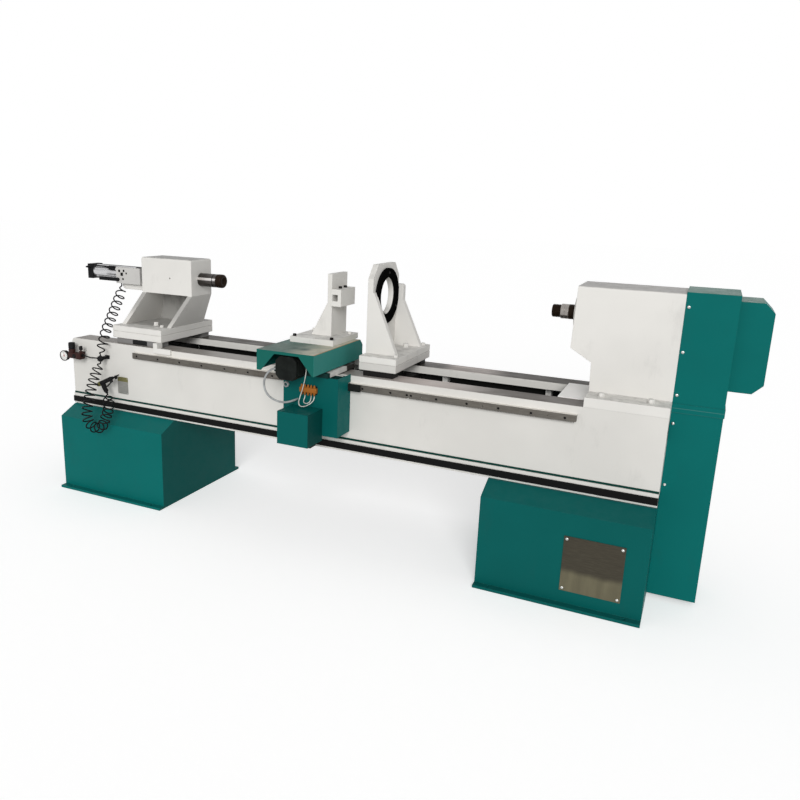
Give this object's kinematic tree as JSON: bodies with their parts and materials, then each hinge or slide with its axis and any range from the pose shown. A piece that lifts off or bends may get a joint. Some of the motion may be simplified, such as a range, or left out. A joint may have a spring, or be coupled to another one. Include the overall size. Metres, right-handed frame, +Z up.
{
  "type": "wood lathe",
  "caption": "Automatic wood lathe: cast bed on two pedestals, driven headstock, air-pressed tailstock, steady rest and motor-driven tool carriage.",
  "frame": {"origin": "on the floor, under the middle of the machine's overall length and depth, without its free hoses", "axes": "+X along the bed from the tailstock end to the headstock, +Y from the operator's side to the rear, +Z up"},
  "size_m": [3.211, 0.783, 1.232],
  "materials": {
    "white_paint": "semi-gloss, light wear",
    "green_paint": "gloss, lightly textured",
    "ground_steel": "ground, lightly oiled",
    "turned_steel": "turned, darkened",
    "rack_steel": "milled, matt grey",
    "stainless": "cloudy stainless sheet",
    "black_steel": "blackened",
    "rail_black": "satin black",
    "iron": "machined",
    "motor_grey": "satin",
    "motor_black": "satin",
    "cylinder_alloy": "anodised satin",
    "plate_alloy": "matt, bare",
    "regulator_red": "satin",
    "orange_paint": "semi-gloss",
    "black_plastic": "matt moulded",
    "needle_red": "gloss",
    "grey_tube": "matt",
    "hose_black": "satin",
    "ring_black": "matt"
  },
  "bodies": {
    "bed": {"pedestal_left": "green_paint", "pedestal_right": "green_paint", "access_panel": "stainless", "bed_fasteners": "black_steel", "bed_front": "white_paint", "bed_rear": "white_paint", "bed_ribs": "white_paint", "rack": "rack_steel", "guide_rail": "rail_black", "headstock": "white_paint", "spindle_bearings": "turned_steel", "spindle_motor": "motor_grey", "guard_lower": "green_paint", "guard_upper": "green_paint", "end_cover": "green_paint", "chip_plate": "white_paint", "data_plate": "plate_alloy", "regulator": "regulator_red", "hose_fittings": "black_plastic", "gun_body": "black_plastic", "tail_hose": "hose_black", "gun_hose": "hose_black"},
    "spindle": {"spindle": "turned_steel", "spindle_pulley": "iron"},
    "motor_rotor": {"motor_rotor": "iron"},
    "carriage": {"saddle": "white_paint", "saddle_guides": "ground_steel", "apron": "green_paint", "drive_motor": "motor_black", "oil_distributor": "orange_paint", "carriage_tubes": "grey_tube", "cross_motor": "motor_black"},
    "pinion": {"pinion": "ground_steel"},
    "drive_pulley": {"drive_pulley": "ground_steel"},
    "cross_slide": {"cross_plate": "ground_steel", "slide_cover": "green_paint", "tool_post": "white_paint", "tool_block": "white_paint", "tool_bolts": "black_steel"},
    "cross_screw": {"cross_screw": "ground_steel"},
    "tailstock": {"tail_casting": "white_paint", "tail_base": "white_paint", "tail_slides": "iron", "tail_bolts": "ground_steel", "air_cylinder": "cylinder_alloy", "cylinder_caps": "black_steel", "cylinder_arm": "white_paint", "cylinder_tube": "hose_black"},
    "quill": {"quill": "turned_steel"},
    "nose_sleeve": {"nose_sleeve": "turned_steel"},
    "valve_lever": {"valve_lever": "black_plastic"},
    "steady": {"steady_frame": "white_paint", "steady_ring": "ring_black", "steady_base": "white_paint", "steady_slides": "iron", "steady_bolts": "ground_steel"},
    "regulator_knob": {"regulator_knob": "black_plastic"},
    "shutoff_knob": {"shutoff_knob": "black_plastic"},
    "gauge_needle": {"gauge_needle": "needle_red"},
    "gun_trigger": {"gun_trigger": "black_plastic"}
  },
  "joints": [
    {"name": "carriage_travel", "type": "slide", "parent": "bed", "child": "carriage", "axis": [1, 0, 0], "range_m": [-0.28, 0.06]},
    {"name": "pinion_spin", "type": "hinge", "parent": "carriage", "child": "pinion", "pos_m": [-0.10263, -0.1445, 0.68785], "axis": [0, 1, 0], "range_deg": [-250, 850]},
    {"name": "drive_pulley_spin", "type": "hinge", "parent": "carriage", "child": "drive_pulley", "pos_m": [-0.10263, -0.2345, 0.578], "axis": [0, 1, 0], "range_deg": [-550, 2100]},
    {"name": "cross_feed", "type": "slide", "parent": "carriage", "child": "cross_slide", "axis": [0, 1, 0], "range_m": [-0.16, 0.04]},
    {"name": "cross_screw_spin", "type": "hinge", "parent": "carriage", "child": "cross_screw", "pos_m": [-0.1525, -0.1415, 0.816], "axis": [0, 1, 0], "range_deg": [-5800, 1500]},
    {"name": "tailstock_slide", "type": "slide", "parent": "bed", "child": "tailstock", "axis": [1, 0, 0], "range_m": [-0.2, 0.2], "deforming": ["tail_hose"]},
    {"name": "quill_stroke", "type": "slide", "parent": "tailstock", "child": "quill", "axis": [1, 0, 0], "range_m": [0, 0.1]},
    {"name": "nose_spin", "type": "hinge", "parent": "quill", "child": "nose_sleeve", "pos_m": [-0.7885, 0.086, 1.091], "axis": [1, 0, 0], "continuous": true},
    {"name": "lever_swing", "type": "hinge", "parent": "tailstock", "child": "valve_lever", "pos_m": [-1.3845, 0.0265, 1.062], "axis": [0, 1, 0], "range_deg": [-20, 20]},
    {"name": "steady_slide", "type": "slide", "parent": "bed", "child": "steady", "axis": [1, 0, 0], "range_m": [0, 0.5]},
    {"name": "spindle_spin", "type": "hinge", "parent": "bed", "child": "spindle", "pos_m": [0.9475, 0.086, 1.091], "axis": [1, 0, 0], "continuous": true},
    {"name": "motor_spin", "type": "hinge", "parent": "bed", "child": "motor_rotor", "pos_m": [1.3775, 0.086, 0.255], "axis": [1, 0, 0], "continuous": true},
    {"name": "pressure_knob_turn", "type": "hinge", "parent": "bed", "child": "regulator_knob", "pos_m": [-1.5175, -0.1815, 0.735], "axis": [0, 0, 1], "range_deg": [-540, 540]},
    {"name": "shutoff_knob_turn", "type": "hinge", "parent": "bed", "child": "shutoff_knob", "pos_m": [-1.4575, -0.1815, 0.732], "axis": [0, 0, 1], "range_deg": [0, 360]},
    {"name": "needle_swing", "type": "hinge", "parent": "bed", "child": "gauge_needle", "pos_m": [-1.5665, -0.1895, 0.678], "axis": [0, 1, 0], "range_deg": [-135, 135]},
    {"name": "trigger_pull", "type": "hinge", "parent": "bed", "child": "gun_trigger", "pos_m": [-1.24797, -0.1995, 0.58405], "axis": [0, 1, 0], "range_deg": [0, 10], "stiffness_Nm_per_rad": 0.3}
  ],
  "couplings": [
    {"joint": "pinion_spin", "follows": "carriage_travel", "rad_per_m": -50},
    {"joint": "drive_pulley_spin", "follows": "carriage_travel", "rad_per_m": -125},
    {"joint": "cross_screw_spin", "follows": "cross_feed", "rad_per_m": 628.32},
    {"joint": "motor_spin", "follows": "spindle_spin", "ratio": 1.5}
  ]
}
